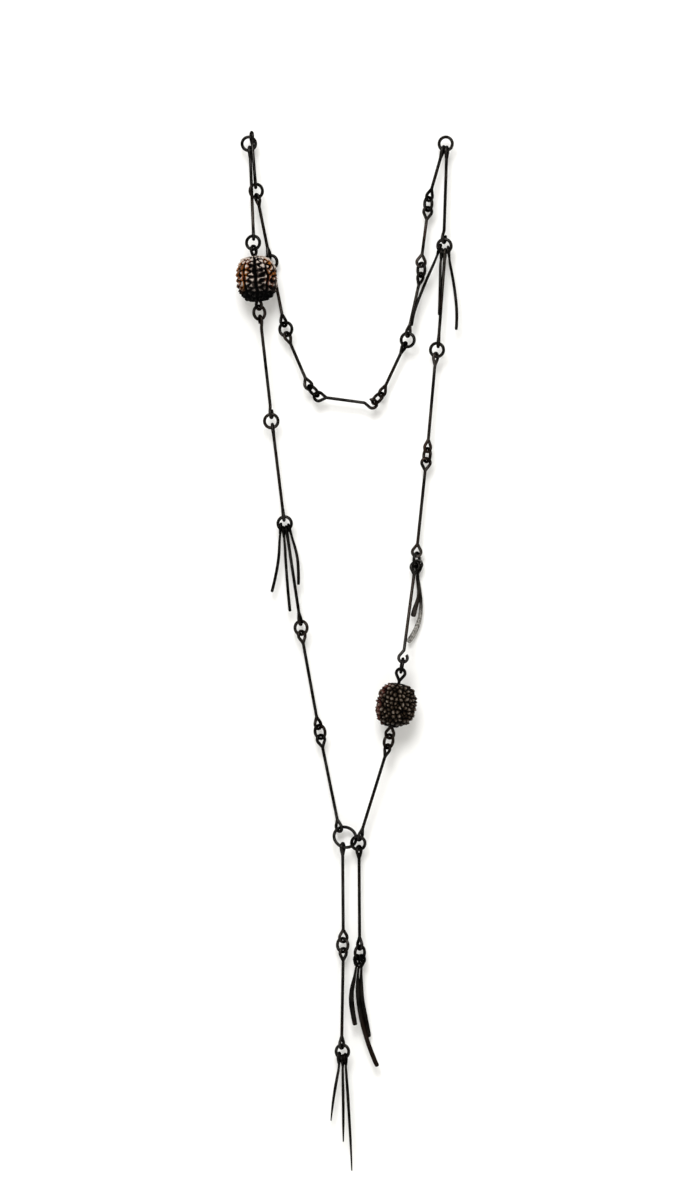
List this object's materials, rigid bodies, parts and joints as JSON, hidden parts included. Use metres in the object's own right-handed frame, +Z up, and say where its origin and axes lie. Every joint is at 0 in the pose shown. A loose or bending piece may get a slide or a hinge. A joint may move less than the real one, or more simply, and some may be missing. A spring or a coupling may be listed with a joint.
{
  "type": "lariat necklace",
  "caption": "Long lariat necklace: a closed chain of dark wire bars and jump rings with knobbly barrel beads, wire tassels and two hanging tails.",
  "frame": {"origin": "midpoint between the two points that the necklace hangs from, at the inner tops of its two topmost rings", "axes": "+Z up, +X to the viewer's right, -Y towards the viewer, away from the wall that the necklace hangs against"},
  "size_m": [0.0997, 0.022, 0.4678],
  "materials": {
    "chain_wire": "oxidised black wire, satin, with faint warm rubs",
    "tassel_wire": "oxidised black wire, satin",
    "flattened_wire": "oxidised black wire, hammered flat at the ends",
    "left_bead": "dry knobbly brown seed with pale grey nubs and dark furrows",
    "right_bead": "dry knobbly dark brown seed with reddish and grey nubs"
  },
  "bodies": {
    "root": {"left_top_ring": "chain_wire", "right_top_ring": "chain_wire", "left_rings": "chain_wire", "left_tassel_ring": "chain_wire", "right_rings": "chain_wire", "right_tassel_ring": "chain_wire", "blade_tassel_ring": "chain_wire", "nape_rings": "chain_wire", "big_ring": "chain_wire", "link_ring": "chain_wire", "left_tail_ring": "chain_wire", "spike_tassel_ring": "chain_wire", "paddle_tassel_ring": "chain_wire", "left_bar_1": "chain_wire", "left_bar_2": "chain_wire", "left_bar_3": "chain_wire", "left_bar_4": "chain_wire", "left_bar_5": "chain_wire", "left_bar_6": "chain_wire", "left_tail_bar_1": "chain_wire", "left_tail_bar_2": "chain_wire", "right_bar_1": "chain_wire", "right_bar_2": "chain_wire", "right_bar_3": "chain_wire", "right_bar_4": "chain_wire", "right_bar_5": "chain_wire", "right_bar_6": "chain_wire", "right_tail_bar": "chain_wire", "nape_bar_1": "chain_wire", "nape_bar_2": "chain_wire", "nape_bar_3": "chain_wire", "nape_bar_4": "chain_wire", "nape_bar_5": "chain_wire", "nape_bar_6": "chain_wire", "nape_bar_7": "chain_wire", "nape_bar_8": "chain_wire", "nape_bar_9": "chain_wire", "left_bead_pin": "chain_wire", "right_bead_pin": "chain_wire", "left_bead": "left_bead", "right_bead": "right_bead", "left_tassel": "tassel_wire", "right_tassel": "tassel_wire", "spike_tassel": "tassel_wire", "blade_tassel": "flattened_wire", "paddle_tassel": "flattened_wire"}
  },
  "joints": []
}
